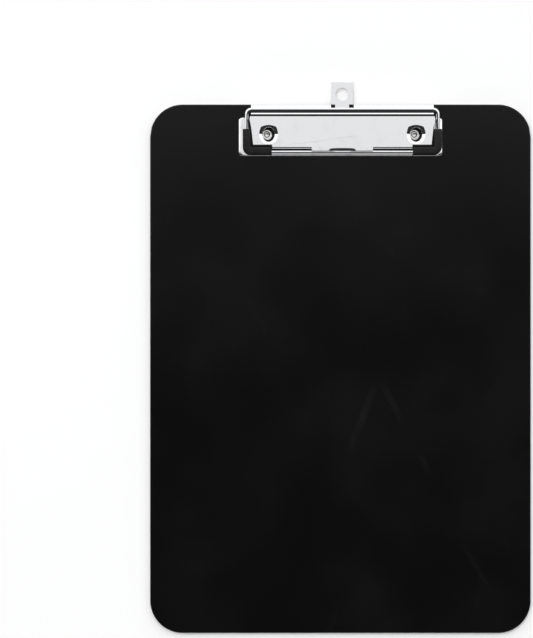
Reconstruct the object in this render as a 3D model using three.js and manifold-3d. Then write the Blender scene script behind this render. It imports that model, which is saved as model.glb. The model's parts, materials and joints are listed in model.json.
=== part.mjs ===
// A letter-size clipboard with a low, sprung clip and a sliding hanging tab.
// Millimetres. The origin is the centre of the board's back face, +Y runs towards the clip's end,
// +X to the right of someone reading the board, and +Z out of its front face.
// The clip is laid out from its hinge axis: "along" is measured from the axis towards +Y, so the
// clip's front lies at negative values, and "up" is measured from the board's front face.
import * as THREE from "three";
import { mergeVertices } from "three/addons/utils/BufferGeometryUtils.js";
import Module from "manifold-3d";

const wasm = await Module();
wasm.setup();

// ---------------------------------------------------------------- driving dimensions

// Board: holds letter paper, 215.9 x 279.4, with a margin for the clip.
const boardWidth = 228.6;
const boardLength = 317.5;
const boardThickness = 3.0;
const boardCornerRadius = 19.5;
const boardEdgeRadius = 0.8;

// Clip: everything across it is worked out from the length of the roll.
const hingeInset = 3.5; // hinge axis, in from the board's top edge
const rollWidth = 109.3;
const rollRadius = 3.4; // outside of the roll
const rollClearance = 0.6; // between the turning roll and the board
const rollEndAngle = -25; // where the roll's edge ends behind the axis, in degrees
const notchAngle = 74; // the notch for the tab reaches up the roll to here, in degrees
const sidePlay = 1.0; // lever, bail and tab rest this far to +X, the play of hinge and tab slide

// Lever plate.
const leverSheet = 0.8;
const leverRise = 5.6; // top of the flat, above the board
const valleyRadius = 2.0; // outside radius of the valley between roll and flat
const lipRadius = 1.3; // outside radius of the lip's bend between the grips
const cornerLipRadius = 1.0; // and beside them
const lipDrop = 0.5; // straight part of the lip below its bend
const lipGap = 0.7; // between the lip and the bail's front run
const fingerWidth = 36.6;
const fingerOverhang = 0.8; // the finger tongue stops this far short of the wire's middle
const wireEyeWidth = 6;
const wireEyeClearance = 0.15;
const eyeOverlap = 4; // the eye's spiral starts this far inside the roll's edge, in degrees
const eyeSettled = -170; // and has closed on the wire here
const eyeEnd = -400;

// Flared holes in the lever, over the rivets.
const flareRadius = 5.6;
const flareDepth = 2.0;
const flareBend = 0.7; // inside radius of the bend
const flareSeam = 0.3; // flat rim, where the flare meets the plate

// Wire bail and its rubber corner grips.
const wireRadius = 1.2;
const armClearance = 1.35; // between the roll's end and an arm, with the play shared out
const bailFront = -25.3;
const bailElbowRadius = 2.6;
const bailJointGap = 0.6; // the wire's two ends meet inside the roll
const gripSection = 4.9;
const gripCornerRadius = 1.3;
const gripBack = -11.6; // the grips' ends on the arms
const gripReach = 17.4; // along the front run, from the grip's outer face
const gripInward = 0.65; // the front leg lies this much nearer the hinge than the wire in it
const gripAbove = 0.45; // and this much higher

// Base plate: a shallow tray with its edges turned down to the board.
const baseSheet = 0.6;
const baseCornerRadius = 2.4;
const baseEdgeRadius = 0.7;
const wingBack = -4.4; // the wings end here, and a narrower tongue goes on under the roll
const wingMargin = 1.35; // past the grips' outer faces
const frontMargin = 0.4; // past the grips' front faces
const tongueInset = 1.65; // from the roll's end
const sweepClearance = 0.2; // between the turning roll and the tongue's edge

// Hinge knuckles, curled out of the base plate round the bail's hinge run.
const knuckleWidth = 12;
const knuckleInset = 12.65; // from the roll's end
const knuckleClearance = 0.15;
const knuckleEnd = -60; // how far round the wire the curl goes, in degrees

// Torsion springs round the hinge run.
const springWire = 0.4;
const springPitch = 1.0;
const springTurns = 6.75; // from straight below the axis to straight in front of it
const springBend = 0.9; // how far the upper leg dips on its way out of the coil
const springBendMiddle = [0.3, 0.63]; // halfway round that bend: forward and down
const springInset = 10; // from the knuckle's inner side to the coil's middle
const springLegEnd = -11;
const coilClearance = 0.2;

// Tubular rivets, their dishes in the base plate, and their washers.
const rivetInset = 10.5; // from the roll's end
const rivetAlong = -14.9;
const rivetShankRadius = 2.0;
const rivetHeadRadius = 3.3;
const rivetHeadHeight = 1.9;
const rivetHeadSide = 0.86; // upright part of the head's side
const rivetShoulder = [2.92, 1.52]; // the head's rounded shoulder: radius and height
const rivetCrownRadius = 2.35; // where the shoulder meets the crown
const rivetCupRadius = 1.7;
const rivetCupDepth = 0.9;
const rivetCupWall = [1.45, 0.63]; // halfway down the cup: radius and depth
const rivetCupFloor = 0.85; // radius of the cup's floor
const rivetHollowRadius = 1.0; // of the tail
const rivetHollowMouth = 1.4;
const rivetTailFlare = 0.25; // slope at the tail's mouth and edge
const rivetTailRadius = 2.9;
const rivetTailHeight = 0.5;
const rivetDishMargin = 1.1; // round the head
const rivetDishFlare = 0.6;
const washerRadius = 4.0;
const washerThickness = 0.5;
const counterboreDepth = 1.5;
const counterboreMargin = 0.4; // round the washer

// Hanging tab.
const tabSheet = 0.6;
const tabGap = 0.1; // over and under the tab in its slide
const tabWidth = 12.9;
const tabReach = 13.3; // out over the board's top edge
const tabEarReach = 0.4; // each ear, past the tab's side
const tabEarLength = 0.9;
const tabNeckWidth = 8.4;
const tabHoleRadius = 3.95;
const tabHoleReach = 6.0; // the hole's middle, past the board's top edge
const tabFootLength = 1.5;
const tabTravel = 11;
const tabStopLength = 2.8;
const tabRailWidth = 0.8;

// Clearances.
const slideClearance = 0.2; // at each side of a sliding piece
const stopClearance = 0.3; // between a stop and what it stops, at rest
const fitClearance = 0.2; // round a shank or a wire in its hole
const bondGap = 0.02; // between a grip's foot and the base plate
const fuse = 0.1; // how far joined parts of one piece run into each other

// Fineness of round shapes.
const arcSteps = 4; // THREE.Path gives an arc twice as many
const roundSteps = 24;
const wireSides = 12;
const springSides = 6;
const coilSteps = 12; // per turn
const boardEdgeSteps = 3;
const baseEdgeSteps = 4;
const mergeTolerance = 1e-4;
const ample = 40; // reach of a cutting block past what it cuts
const overshoot = 1; // how far a drill passes a face it cuts through

// ---------------------------------------------------------------- sizes that follow

const { degToRad } = THREE.MathUtils;
const halfRoll = rollWidth / 2;
const hingeY = boardLength / 2 - hingeInset;
const hingeHeight = rollRadius + rollClearance;

const baseRise = tabSheet + 2 * tabGap; // clear height under the base plate
const baseTop = baseRise + baseSheet;

const bailArm = halfRoll + armClearance + wireRadius; // middle of an arm
const gripHalf = gripSection / 2;
const gripHeight = baseTop + bondGap + gripHalf;
const gripFront = bailFront + gripInward;
const bailFrontHeight = gripHeight - gripAbove;

const flatMiddle = leverRise - leverSheet / 2;
const rollMiddle = rollRadius - leverSheet / 2;
const valleyMiddle = valleyRadius + leverSheet / 2;
const valleyHeight = leverRise + valleyRadius;
const valleyAlong = -Math.sqrt((rollRadius + valleyRadius) ** 2 - (valleyHeight - hingeHeight) ** 2);
const valleyAngle = Math.atan2(valleyHeight - hingeHeight, valleyAlong);
const halfLever = bailArm - wireRadius - stopClearance; // behind the grips, where it is widest
const gripSide = bailArm - gripHalf - stopClearance; // half the lever's width between the grips
const cornerLipInside = bailArm + gripHalf - gripReach - stopClearance;
const cornerLipFront = gripFront + gripHalf + stopClearance;
const lipFront = bailFront + wireRadius + lipGap;
const fingerFront = bailFront + fingerOverhang;
const fingerTip =
  bailFrontHeight + Math.sqrt(wireRadius ** 2 - fingerOverhang ** 2) + slideClearance + leverSheet / 2;
const notchWidth = tabWidth + 2 * stopClearance + slideClearance;

const halfWing = bailArm + gripHalf + wingMargin;
const halfTongue = halfRoll - tongueInset;
const baseFront = gripFront - gripHalf - frontMargin;
const baseBack = -Math.sqrt((rollRadius + sweepClearance) ** 2 - (hingeHeight - baseTop) ** 2);

const knuckleCentre = halfRoll - knuckleInset - knuckleWidth / 2;
const springCentre = knuckleCentre - knuckleWidth / 2 - springInset;
const springCoilRadius = wireRadius + coilClearance + springWire;
const springEnd = springCentre + (springTurns * springPitch) / 2;
const bailJointAt = -(springEnd + knuckleCentre - knuckleWidth / 2) / 2 - sidePlay;

const rivetX = halfRoll - rivetInset;
const rivetDishRadius = rivetHeadRadius + rivetDishMargin;
const counterboreRadius = washerRadius + counterboreMargin;

const tabHeadBack = hingeInset; // the head starts at the board's top edge
const tabTop = hingeInset + tabReach;
const tabHoleAlong = hingeInset + tabHoleReach;
const channelWidth = tabWidth + 2 * (sidePlay + slideClearance);
const neckChannelWidth = tabNeckWidth + 2 * (sidePlay + slideClearance);
const tabStopBack = tabHeadBack - tabTravel - stopClearance;
const tabFootBack = tabStopBack - tabStopLength - stopClearance;
const tabFootFront = tabFootBack - tabFootLength;
const railFront = tabFootFront - tabTravel - stopClearance;

// ---------------------------------------------------------------- tools for solids

/** A closed geometry as a solid that can be joined and cut. */
function solid(geometry) {
  const bare = geometry.index ? geometry.toNonIndexed() : geometry.clone();
  bare.deleteAttribute("normal");
  bare.deleteAttribute("uv");
  const merged = mergeVertices(bare, mergeTolerance);
  return new wasm.Manifold(
    new wasm.Mesh({
      numProp: 3,
      vertProperties: merged.attributes.position.array,
      triVerts: new Uint32Array(merged.index.array),
    }),
  );
}

/** A solid as a geometry again. */
function geometryOf(made) {
  const mesh = made.getMesh();
  const geometry = new THREE.BufferGeometry();
  geometry.setAttribute("position", new THREE.BufferAttribute(mesh.vertProperties, 3));
  geometry.setIndex(new THREE.BufferAttribute(mesh.triVerts, 1));
  geometry.computeVertexNormals();
  return geometry;
}

/** A block between two opposite corners. */
function block(low, high) {
  const size = high.map((value, i) => value - low[i]);
  const geometry = new THREE.BoxGeometry(...size);
  geometry.translate(...high.map((value, i) => (value + low[i]) / 2));
  return solid(geometry);
}

/** An upright cylinder, or a cone where the two radii differ. */
function post(radius, low, high, x, along, topRadius = radius) {
  const geometry = new THREE.CylinderGeometry(topRadius, radius, high - low, roundSteps);
  geometry.rotateX(Math.PI / 2);
  geometry.translate(x, along, (low + high) / 2);
  return solid(geometry);
}

/** A plan outline raised straight up. */
function raised(shape, low, high) {
  const settings = { depth: high - low, bevelEnabled: false, curveSegments: arcSteps };
  const geometry = new THREE.ExtrudeGeometry(shape, settings);
  geometry.translate(0, 0, low);
  return solid(geometry);
}

/** A plan outline raised from low to high with both edges rounded, the outline kept. */
function raisedRounded(shape, low, high, radius, steps) {
  const geometry = new THREE.ExtrudeGeometry(shape, {
    depth: high - low - 2 * radius,
    bevelEnabled: true,
    bevelThickness: radius,
    bevelSize: radius,
    bevelOffset: -radius,
    bevelSegments: steps,
    curveSegments: arcSteps,
  });
  geometry.translate(0, 0, low + radius);
  return solid(geometry);
}

/** An outline in the (along, up) plane, carried sideways from one x to another. */
function sideways(shape, fromX, toX) {
  const settings = { depth: toX - fromX, bevelEnabled: false, curveSegments: arcSteps };
  const geometry = new THREE.ExtrudeGeometry(shape, settings);
  const turn = new THREE.Matrix4().makeBasis(
    new THREE.Vector3(0, 1, 0),
    new THREE.Vector3(0, 0, 1),
    new THREE.Vector3(1, 0, 0),
  );
  geometry.applyMatrix4(turn);
  geometry.translate(fromX, 0, 0);
  return solid(geometry);
}

/** The outline of a bent sheet: its centreline moved half the thickness to each side. */
function sheetOutline(centreline, thickness) {
  const line = centreline.getPoints(arcSteps);
  const last = line.length - 1;
  const offsets = line.map((point, i) => {
    const arriving = point.clone().sub(line[Math.max(i - 1, 0)]);
    const leaving = line[Math.min(i + 1, last)].clone().sub(point);
    if (i === 0) arriving.copy(leaving);
    if (i === last) leaving.copy(arriving);
    arriving.normalize();
    const middle = arriving.clone().add(leaving.normalize()).normalize();
    const mitre = thickness / 2 / middle.dot(arriving);
    return new THREE.Vector2(-middle.y, middle.x).multiplyScalar(mitre);
  });
  const left = line.map((point, i) => point.clone().add(offsets[i]));
  const right = line.map((point, i) => point.clone().sub(offsets[i]));
  return new THREE.Shape([...left, ...right.reverse()]);
}

/** A plan rectangle about (x, along), with rounded corners. */
function roundedRectangle(width, length, radius) {
  const x = width / 2;
  const y = length / 2;
  const shape = new THREE.Shape();
  shape.moveTo(x, radius - y);
  shape.absarc(x - radius, y - radius, radius, 0, Math.PI / 2);
  shape.absarc(radius - x, y - radius, radius, Math.PI / 2, Math.PI);
  shape.absarc(radius - x, radius - y, radius, Math.PI, Math.PI * 1.5);
  shape.absarc(x - radius, radius - y, radius, Math.PI * 1.5, Math.PI * 2);
  return shape;
}

/** A path that is sampled at its own stations, so that a straight run costs one step. */
class StationPath extends THREE.Curve {
  constructor(stations) {
    super();
    this.stations = stations;
  }

  getUtoTmapping(u) {
    return u;
  }

  getPoint(t, target = new THREE.Vector3()) {
    const place = THREE.MathUtils.clamp(t, 0, 1) * (this.stations.length - 1);
    const i = Math.min(Math.floor(place), this.stations.length - 2);
    return target.lerpVectors(this.stations[i], this.stations[i + 1], place - i);
  }
}

/** A closed section carried along a list of stations. */
function swept(section, stations) {
  const settings = { steps: stations.length - 1, extrudePath: new StationPath(stations) };
  return solid(new THREE.ExtrudeGeometry(section, settings));
}

/** A regular section of a wire. */
function wireSection(radius, sides) {
  const corners = Array.from({ length: sides }, (_, i) => {
    const turn = (2 * Math.PI * i) / sides;
    return new THREE.Vector2(radius * Math.cos(turn), radius * Math.sin(turn));
  });
  return new THREE.Shape(corners);
}

/** Stations of a path through corner points, each corner rounded by a fillet of the radius. */
function filleted(corners, radius) {
  const stations = [corners[0]];
  for (let i = 1; i < corners.length - 1; i += 1) {
    const back = corners[i - 1].clone().sub(corners[i]).normalize();
    const ahead = corners[i + 1].clone().sub(corners[i]).normalize();
    const half = back.angleTo(ahead) / 2;
    const inward = back.clone().add(ahead).normalize();
    const centre = corners[i].clone().addScaledVector(inward, radius / Math.sin(half));
    const start = corners[i].clone().addScaledVector(back, radius / Math.tan(half)).sub(centre);
    const axis = back.clone().cross(ahead).normalize().negate();
    const sweep = Math.PI - 2 * half;
    for (let k = 0; k <= arcSteps; k += 1) {
      stations.push(start.clone().applyAxisAngle(axis, (sweep * k) / arcSteps).add(centre));
    }
  }
  stations.push(corners[corners.length - 1]);
  return stations;
}

// ---------------------------------------------------------------- the pieces

/** Board: a rounded slab with a stepped hole for each rivet, wide at the back. */
function makeBoard() {
  const outline = roundedRectangle(boardWidth, boardLength, boardCornerRadius);
  let board = raisedRounded(outline, 0, boardThickness, boardEdgeRadius, boardEdgeSteps);
  for (const x of [-rivetX, rivetX]) {
    const y = hingeY + rivetAlong;
    const hole = rivetShankRadius + fitClearance;
    board = board.subtract(post(hole, -overshoot, boardThickness + overshoot, x, y));
    board = board.subtract(post(counterboreRadius, -overshoot, counterboreDepth, x, y));
  }
  return board;
}

/** The base plate's plan, drawn inset from its edge; its back edge moves out by extend. */
function basePlan(inset, extend) {
  const wing = halfWing - inset;
  const tongue = halfTongue - inset;
  const front = baseFront + inset;
  const shoulder = wingBack - inset;
  const back = baseBack + extend;
  const r = baseCornerRadius - inset;
  const shape = new THREE.Shape();
  shape.moveTo(-wing, front + r);
  shape.absarc(-wing + r, front + r, r, Math.PI, Math.PI * 1.5);
  shape.absarc(wing - r, front + r, r, Math.PI * 1.5, Math.PI * 2);
  shape.absarc(wing - r, shoulder - r, r, 0, Math.PI / 2);
  shape.lineTo(tongue, shoulder);
  shape.lineTo(tongue, back);
  shape.lineTo(-tongue, back);
  shape.lineTo(-tongue, shoulder);
  shape.absarc(-wing + r, shoulder - r, r, Math.PI / 2, Math.PI);
  return shape;
}

/** One hinge knuckle: a strip that rises from the plate and curls over the wire. */
function knuckle(x) {
  const radius = wireRadius + knuckleClearance + baseSheet / 2;
  const line = new THREE.Path();
  line.moveTo(baseBack - 2 * fuse, baseTop - baseSheet / 2);
  line.lineTo(-radius, baseTop - baseSheet / 2);
  line.lineTo(-radius, hingeHeight);
  line.absarc(0, hingeHeight, radius, Math.PI, degToRad(knuckleEnd), true);
  return sideways(sheetOutline(line, baseSheet), x - knuckleWidth / 2, x + knuckleWidth / 2);
}

/** Base plate: tray, rivet dishes, tab rails and stops, and two knuckles. */
function makeBasePlate() {
  const bottom = -2 * baseEdgeRadius;
  let plate = raisedRounded(basePlan(0, 0), bottom, baseTop, baseEdgeRadius, baseEdgeSteps);
  plate = plate.subtract(raised(basePlan(baseSheet, ample), -ample, baseRise));
  plate = plate.subtract(block([-ample * 2, -ample, -ample], [ample * 2, ample, 0]));
  for (const x of [-rivetX, rivetX]) {
    const wall = rivetDishRadius + baseSheet;
    const flare = rivetDishRadius + rivetDishFlare;
    plate = plate.add(post(wall, 0, baseRise + fuse, x, rivetAlong));
    plate = plate.subtract(
      post(rivetDishRadius, baseSheet, baseTop + fuse, x, rivetAlong, flare),
    );
    plate = plate.subtract(post(rivetShankRadius + fitClearance, -overshoot, baseTop, x, rivetAlong));
  }
  for (const side of [-1, 1]) {
    const inner = side * (channelWidth / 2);
    const outer = side * (channelWidth / 2 + tabRailWidth);
    const neck = side * (neckChannelWidth / 2);
    const rail = [Math.min(inner, outer), Math.max(inner, outer)];
    const stop = [Math.min(neck, outer), Math.max(neck, outer)];
    plate = plate.add(
      block([rail[0], railFront, 0], [rail[1], baseBack - baseEdgeRadius, baseRise + fuse]),
    );
    plate = plate.add(
      block([stop[0], tabStopBack - tabStopLength, 0], [stop[1], tabStopBack, baseRise + fuse]),
    );
    plate = plate.add(knuckle(side * knuckleCentre));
  }
  return plate;
}

/** The lever's centreline: roll, valley, flat, then a bend down at the given front. */
function leverLine(front, radius) {
  const line = new THREE.Path();
  const bendAlong = front + radius;
  const bendHeight = leverRise - radius;
  const bendMiddle = radius - leverSheet / 2;
  line.absarc(0, hingeHeight, rollMiddle, degToRad(rollEndAngle), valleyAngle, false);
  line.absarc(valleyAlong, valleyHeight, valleyMiddle, valleyAngle - Math.PI, -Math.PI / 2, true);
  line.absarc(bendAlong, bendHeight, bendMiddle, Math.PI / 2, Math.PI, false);
  line.lineTo(bendAlong - bendMiddle, bendHeight - lipDrop);
  return line;
}

/** A wire eye: the roll's end curled on in a spiral until it hugs the wire. */
function wireEye(fromX, toX) {
  const eyeMiddle = wireRadius + wireEyeClearance + leverSheet / 2;
  const line = new THREE.Path();
  const start = degToRad(rollEndAngle + eyeOverlap);
  const settled = degToRad(eyeSettled);
  const end = degToRad(eyeEnd);
  const steps = 8 * arcSteps;
  const points = Array.from({ length: steps + 1 }, (_, i) => {
    const angle = THREE.MathUtils.lerp(start, end, i / steps);
    const inward = THREE.MathUtils.smoothstep(-angle, -start, -settled);
    const radius = THREE.MathUtils.lerp(rollMiddle, eyeMiddle, inward);
    return new THREE.Vector2(radius * Math.cos(angle), hingeHeight + radius * Math.sin(angle));
  });
  line.setFromPoints(points);
  return sideways(sheetOutline(line, leverSheet), fromX, toX);
}

/** The lever's plan: the roll's width at the back, then the flat, notched for the grips. */
function leverPlan() {
  const shape = new THREE.Shape();
  const right = [
    [halfRoll, rollRadius + ample],
    [halfRoll, valleyAlong + valleyRadius / 2],
    [halfLever, valleyAlong - valleyRadius / 2],
    [gripSide, gripBack + stopClearance],
    [gripSide, cornerLipFront + cornerLipRadius],
    [gripSide - cornerLipRadius / 2, cornerLipFront - fuse],
    [cornerLipInside, cornerLipFront - fuse],
    [cornerLipInside, lipFront - fuse],
    [fingerWidth / 2, lipFront - fuse],
    [fingerWidth / 2 - lipRadius / 2, -ample],
  ];
  const left = right.map(([x, along]) => [-x, along]).reverse();
  [...right, ...left].forEach(([x, along], i) => {
    if (i === 0) shape.moveTo(x, along);
    else shape.lineTo(x, along);
  });
  return shape;
}

/** A flared hole's rim: the sheet bends down round the hole into a short throat. */
function flare(x) {
  const middle = leverSheet / 2;
  const bend = flareBend + middle;
  const line = new THREE.Path();
  line.moveTo(flareRadius + flareSeam, flatMiddle);
  line.lineTo(flareRadius, flatMiddle);
  line.absarc(flareRadius, flatMiddle - bend, bend, Math.PI / 2, Math.PI, false);
  line.lineTo(flareRadius - bend, flatMiddle - flareDepth);
  const outline = sheetOutline(line, leverSheet).getPoints(1);
  const ring = new THREE.LatheGeometry([...outline, outline[0]].reverse(), roundSteps);
  ring.rotateX(Math.PI / 2);
  ring.translate(x, rivetAlong, 0);
  return solid(ring);
}

/** Lever plate. */
function makeLeverPlate() {
  const finger = fingerWidth / 2;
  const outer = sheetOutline(leverLine(cornerLipFront, cornerLipRadius), leverSheet);
  let plate = sideways(outer, -halfLever, halfLever);
  const middle = sheetOutline(leverLine(lipFront, lipRadius), leverSheet);
  plate = plate.add(sideways(middle, -cornerLipInside, cornerLipInside));
  plate = plate.intersect(raised(leverPlan(), -ample, ample));
  plate = plate.subtract(
    block([-finger, -ample, 0], [finger, lipFront + 2 * lipRadius, leverRise + fuse]),
  );
  const line = new THREE.Path();
  line.moveTo(lipFront + 2 * lipRadius + fuse, flatMiddle);
  line.quadraticCurveTo((lipFront + fingerFront) / 2 + lipRadius, flatMiddle, fingerFront, fingerTip);
  plate = plate.add(sideways(sheetOutline(line, leverSheet), -finger, finger));
  for (const x of [-rivetX, rivetX]) {
    plate = plate.subtract(post(flareRadius + fuse, 0, leverRise + fuse, x, rivetAlong));
    plate = plate.add(flare(x));
  }
  plate = plate.add(wireEye(-halfRoll, wireEyeWidth - halfRoll));
  plate = plate.add(wireEye(halfRoll - wireEyeWidth, halfRoll));
  const notchAlong = rollRadius * Math.cos(degToRad(notchAngle));
  return plate.subtract(
    block([-notchWidth / 2, notchAlong, -ample], [notchWidth / 2, ample, ample]),
  );
}

/** The bail's corners, clockwise from the joint of its two ends inside the roll. */
function bailCorners() {
  return [
    new THREE.Vector3(bailJointAt + bailJointGap / 2, 0, hingeHeight),
    new THREE.Vector3(bailArm, 0, hingeHeight),
    new THREE.Vector3(bailArm, bailFront, bailFrontHeight),
    new THREE.Vector3(-bailArm, bailFront, bailFrontHeight),
    new THREE.Vector3(-bailArm, 0, hingeHeight),
    new THREE.Vector3(bailJointAt - bailJointGap / 2, 0, hingeHeight),
  ];
}

/** Wire bail: hinge run, two arms and a front run, of one bent wire. */
function makeBail() {
  return swept(wireSection(wireRadius, wireSides), filleted(bailCorners(), bailElbowRadius));
}

/** One corner grip: an L of rounded-square section, moulded round the bail's front corner. */
function makeGrip(side) {
  const arm = side * bailArm;
  const corners = [
    new THREE.Vector3(arm, gripBack, gripHeight),
    new THREE.Vector3(arm, gripFront, gripHeight),
    new THREE.Vector3(arm - side * (gripReach - gripHalf), gripFront, gripHeight),
  ];
  const section = roundedRectangle(gripSection, gripSection, gripCornerRadius);
  const bore = wireSection(wireRadius + fitClearance, wireSides);
  const wire = filleted(bailCorners(), bailElbowRadius);
  return swept(section, filleted(corners, gripHalf + fuse)).subtract(swept(bore, wire));
}

/** One torsion spring: a leg on the base plate, the coil, and a leg under the lever. */
function makeSpring(side) {
  const start = side * (2 * springCentre - springEnd);
  const legRest = baseTop + springWire + fuse;
  const legLift = leverRise - leverSheet - springWire - fuse;
  const stations = [new THREE.Vector3(start, springLegEnd, legRest)];
  const steps = Math.round(springTurns * coilSteps);
  for (let i = 0; i <= steps; i += 1) {
    const turn = (2 * Math.PI * i) / coilSteps - Math.PI / 2;
    const x = start + (side * springPitch * i) / coilSteps;
    const along = springCoilRadius * Math.cos(turn);
    const up = hingeHeight + springCoilRadius * Math.sin(turn);
    stations.push(new THREE.Vector3(x, along, up));
  }
  const end = stations[stations.length - 1];
  const [forward, down] = springBendMiddle;
  stations.push(new THREE.Vector3(end.x, end.y - forward, end.z - down));
  stations.push(new THREE.Vector3(end.x, end.y - springBend, end.z - springBend));
  stations.push(new THREE.Vector3(end.x, springLegEnd, legLift));
  return swept(wireSection(springWire, springSides), stations);
}

/** One tubular rivet: a cupped head on the base plate, a shank, and a flared hollow tail. */
function makeRivet() {
  const headBase = boardThickness + baseSheet;
  const headTop = headBase + rivetHeadHeight;
  const seat = counterboreDepth - washerThickness;
  const tail = seat - rivetTailHeight;
  const profile = [
    [0, boardThickness / 2],
    [rivetHollowRadius, boardThickness / 2],
    [rivetHollowRadius, tail + rivetTailFlare],
    [rivetHollowMouth, tail],
    [rivetTailRadius - rivetTailFlare, tail],
    [rivetTailRadius, tail + rivetTailFlare],
    [rivetTailRadius, seat],
    [rivetShankRadius, seat],
    [rivetShankRadius, headBase],
    [rivetHeadRadius, headBase],
    [rivetHeadRadius, headBase + rivetHeadSide],
    [rivetShoulder[0], headBase + rivetShoulder[1]],
    [rivetCrownRadius, headTop],
    [rivetCupRadius, headTop],
    [rivetCupWall[0], headTop - rivetCupWall[1]],
    [rivetCupFloor, headTop - rivetCupDepth],
    [0, headTop - rivetCupDepth],
  ];
  const points = profile.map(([radius, up]) => new THREE.Vector2(radius, up));
  const geometry = new THREE.LatheGeometry(points, roundSteps);
  geometry.rotateX(Math.PI / 2);
  return solid(geometry);
}

/** One washer, between the rivet's tail and the counterbore's floor. */
function makeWasher() {
  const floor = counterboreDepth;
  return post(washerRadius, floor - washerThickness, floor, 0, 0).subtract(
    post(rivetShankRadius + fitClearance, -overshoot, boardThickness, 0, 0),
  );
}

/** Hanging tab: head with ears and a hole, neck, and a foot that stops it coming out. */
function makeTab() {
  const head = tabWidth / 2;
  const neck = tabNeckWidth / 2;
  const ear = head + tabEarReach;
  const right = [
    [head, tabFootFront],
    [head, tabFootBack],
    [neck, tabFootBack],
    [neck, tabHeadBack],
    [head, tabHeadBack],
    [head, tabTop - tabEarLength],
    [ear, tabTop - tabEarLength / 2],
    [ear, tabTop],
  ];
  const left = right.map(([x, along]) => [-x, along]).reverse();
  const corners = [...right, ...left].map(([x, along]) => new THREE.Vector2(x, along));
  const low = boardThickness + tabGap;
  const plate = raised(new THREE.Shape(corners), low, low + tabSheet);
  return plate.subtract(post(tabHoleRadius, low - overshoot, low + tabSheet + overshoot, 0, tabHoleAlong));
}

// ---------------------------------------------------------------- finishes

const finishes = {
  blackPlastic: { color: 0x151515, roughness: 0.38, metalness: 0 },
  chrome: { color: 0xd9dadc, roughness: 0.08, metalness: 1 },
  chromedWire: { color: 0xd4d6d8, roughness: 0.1, metalness: 1 },
  blackRubber: { color: 0x1c1c1c, roughness: 0.7, metalness: 0 },
  springSteel: { color: 0x8c8c88, roughness: 0.3, metalness: 1 },
  nickelSteel: { color: 0xc9c8c4, roughness: 0.2, metalness: 1 },
};

/** A named mesh of a solid, in its own material. */
function piece(name, made, finish) {
  const material = new THREE.MeshStandardMaterial(finishes[finish]);
  const mesh = new THREE.Mesh(geometryOf(made), material);
  mesh.name = name;
  return mesh;
}

// ---------------------------------------------------------------- the assembly

const clipboard = new THREE.Group();
clipboard.add(piece("board", makeBoard(), "blackPlastic"));

const clip = new THREE.Group(); // on the hinge axis, at the board's front face
clip.position.set(0, hingeY, boardThickness);
clip.add(piece("base_plate", makeBasePlate(), "chrome"));
clipboard.add(clip);

const jaw = new THREE.Group(); // everything that opens, with the side play taken up
jaw.position.x = sidePlay;
jaw.add(piece("lever_plate", makeLeverPlate(), "chrome"));
jaw.add(piece("wire_bail", makeBail(), "chromedWire"));
clip.add(jaw);

const tab = piece("hanging_tab", makeTab(), "chrome");
tab.position.set(sidePlay, hingeY, 0);
clipboard.add(tab);

for (const [name, side] of [["left", -1], ["right", 1]]) {
  jaw.add(piece(`corner_grip_${name}`, makeGrip(side), "blackRubber"));
  clip.add(piece(`torsion_spring_${name}`, makeSpring(side), "springSteel"));
  const rivet = piece(`rivet_${name}`, makeRivet(), "nickelSteel");
  const washer = piece(`rivet_washer_${name}`, makeWasher(), "nickelSteel");
  for (const fastener of [rivet, washer]) {
    fastener.position.set(side * rivetX, hingeY + rivetAlong, 0);
    clipboard.add(fastener);
  }
}

export default clipboard;
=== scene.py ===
"""A letter-size clipboard with a low, sprung chrome clip and a sliding hanging tab.

Lengths are millimetres until a mesh is made, and metres in the meshes. The clip's pieces are laid
out from the hinge axis: "along" runs from it towards +Y and "up" is measured from the board's face.
"""
import json

import bpy
import numpy as np
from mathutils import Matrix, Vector


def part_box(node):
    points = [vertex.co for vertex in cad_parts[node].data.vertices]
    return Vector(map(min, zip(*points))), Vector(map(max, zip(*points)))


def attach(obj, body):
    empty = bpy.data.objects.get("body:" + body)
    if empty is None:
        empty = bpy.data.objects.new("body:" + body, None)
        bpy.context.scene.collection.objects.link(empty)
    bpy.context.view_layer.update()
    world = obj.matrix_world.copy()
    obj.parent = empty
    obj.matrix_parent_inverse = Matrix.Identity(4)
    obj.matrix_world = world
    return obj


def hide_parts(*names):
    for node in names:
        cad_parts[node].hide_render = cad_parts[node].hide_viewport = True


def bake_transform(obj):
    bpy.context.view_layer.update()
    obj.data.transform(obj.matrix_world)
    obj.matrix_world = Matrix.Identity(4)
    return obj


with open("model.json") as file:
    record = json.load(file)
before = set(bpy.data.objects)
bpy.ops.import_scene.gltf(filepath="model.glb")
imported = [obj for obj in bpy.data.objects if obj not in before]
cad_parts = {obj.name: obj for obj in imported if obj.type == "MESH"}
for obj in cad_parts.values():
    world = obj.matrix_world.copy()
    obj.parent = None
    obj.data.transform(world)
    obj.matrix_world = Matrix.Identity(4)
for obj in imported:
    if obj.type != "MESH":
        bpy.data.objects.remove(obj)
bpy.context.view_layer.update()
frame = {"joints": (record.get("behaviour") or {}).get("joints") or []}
MM = 0.001


# ---------------------------------------------------------------- sizes, read from the frame

BOARD_HIGH = np.array(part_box("board")[1]) / MM
BASE_LOW, BASE_HIGH = (np.array(corner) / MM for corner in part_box("base_plate"))
TAB_LOW, TAB_HIGH = (np.array(corner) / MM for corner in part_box("hanging_tab"))
RIVET_LOW, RIVET_HIGH = (np.array(corner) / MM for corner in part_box("rivet_right"))
HINGE = next(joint for joint in frame["joints"] if joint["name"] == "clip_hinge")
HINGE_PLACE = np.array(HINGE["pos_m"]) / MM

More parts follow.
